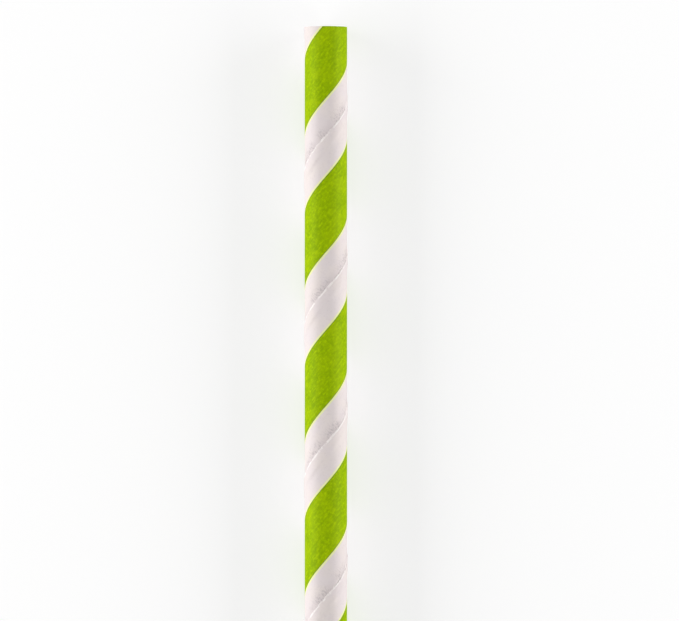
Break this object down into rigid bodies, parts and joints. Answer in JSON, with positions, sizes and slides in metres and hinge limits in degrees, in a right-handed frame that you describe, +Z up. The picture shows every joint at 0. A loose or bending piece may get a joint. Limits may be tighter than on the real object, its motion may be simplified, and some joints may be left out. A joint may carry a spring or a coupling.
{
  "type": "paper drinking straw",
  "caption": "Straight round paper straw, wound in a spiral from glued plies, with a printed green and white spiral stripe and square-cut open ends.",
  "frame": {"origin": "on the bore's axis, halfway between the two cut ends", "axes": "+X along the straw towards its upper end, +Z up from the surface that the straw lies on"},
  "size_m": [0.197, 0.0062, 0.0062],
  "materials": {
    "printed_paper": "uncoated printed paper"
  },
  "bodies": {
    "root": {"straw": "printed_paper"}
  },
  "joints": []
}
